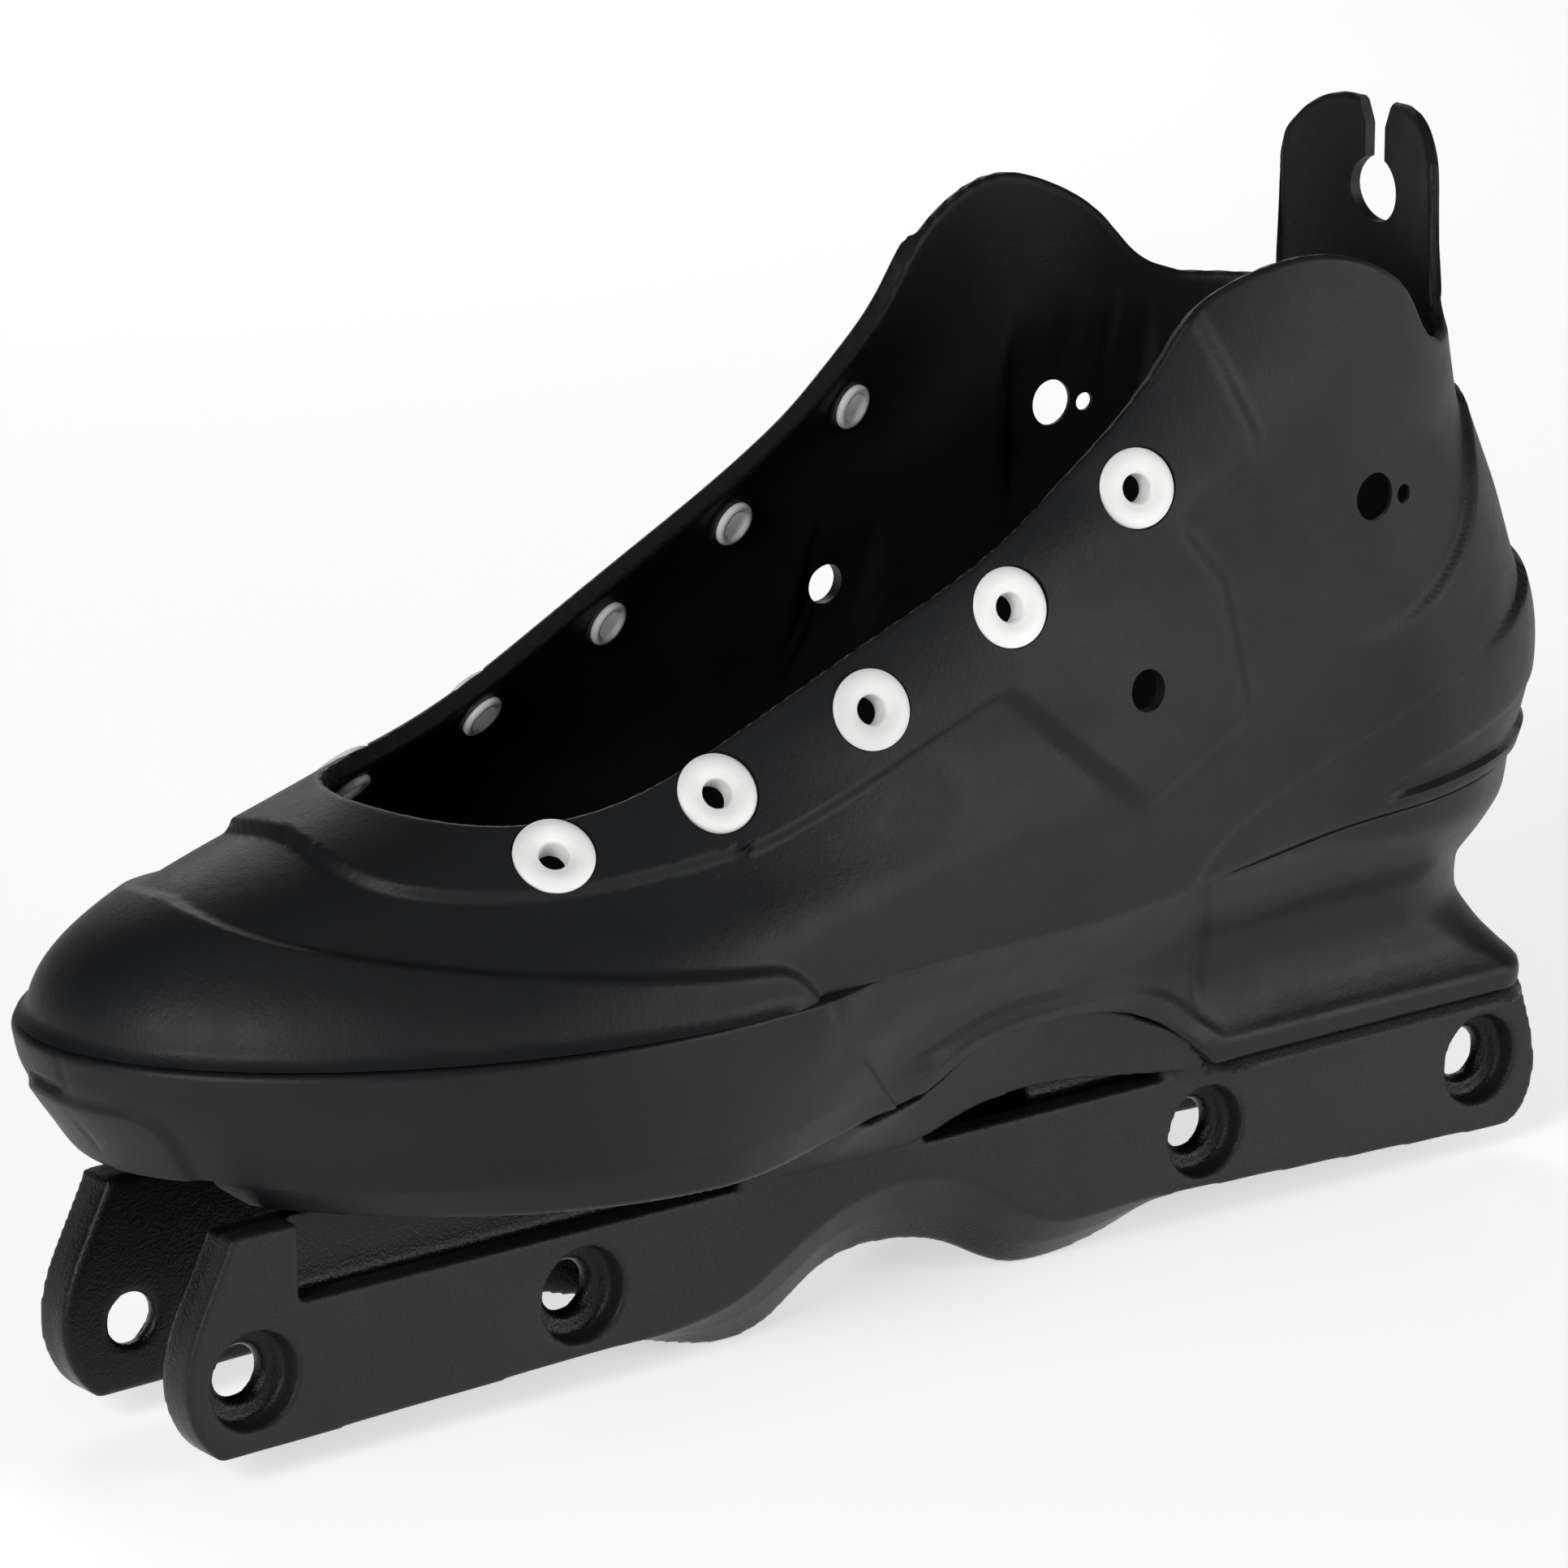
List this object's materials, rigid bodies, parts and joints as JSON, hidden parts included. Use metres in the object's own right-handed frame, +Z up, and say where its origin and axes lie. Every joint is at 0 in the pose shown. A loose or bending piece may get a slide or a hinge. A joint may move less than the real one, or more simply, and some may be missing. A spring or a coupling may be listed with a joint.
{
  "type": "inline skate shell with frame",
  "caption": "Left hard shell of an inline skate with open laced throat, eyelets, heel tab with keyhole, and a grooved twin-rail frame with empty axle holes.",
  "frame": {"origin": "middle of the bounding box, on the plane that the frame's two grinding humps stand on", "axes": "+X from toe to heel, -Y toward the outer side of the left foot, +Z up"},
  "size_m": [0.2864, 0.1003, 0.1848],
  "materials": {
    "shell_plastic": "satin moulded plastic",
    "sole_plastic": "satin moulded plastic, fine grain on the grind plate",
    "frame_plastic": "fine pebble texture",
    "grommet_white": "white enamel",
    "washer_black": "satin",
    "bolt_steel": "zinc plated",
    "insert_brass": "machined"
  },
  "bodies": {
    "root": {"frame": "frame_plastic", "frame_bolt_front": "bolt_steel", "frame_bolt_rear": "bolt_steel", "frame_insert_front": "insert_brass", "frame_insert_rear": "insert_brass", "grommet_washer_lateral_1": "washer_black", "grommet_washer_lateral_2": "washer_black", "grommet_washer_lateral_3": "washer_black", "grommet_washer_lateral_4": "washer_black", "grommet_washer_lateral_5": "washer_black", "grommet_washer_medial_1": "washer_black", "grommet_washer_medial_2": "washer_black", "grommet_washer_medial_3": "washer_black", "grommet_washer_medial_4": "washer_black", "grommet_washer_medial_5": "washer_black", "lace_grommet_lateral_1": "grommet_white", "lace_grommet_lateral_2": "grommet_white", "lace_grommet_lateral_3": "grommet_white", "lace_grommet_lateral_4": "grommet_white", "lace_grommet_lateral_5": "grommet_white", "lace_grommet_medial_1": "grommet_white", "lace_grommet_medial_2": "grommet_white", "lace_grommet_medial_3": "grommet_white", "lace_grommet_medial_4": "grommet_white", "lace_grommet_medial_5": "grommet_white", "sole_base": "sole_plastic", "upper_shell": "shell_plastic"}
  },
  "joints": []
}
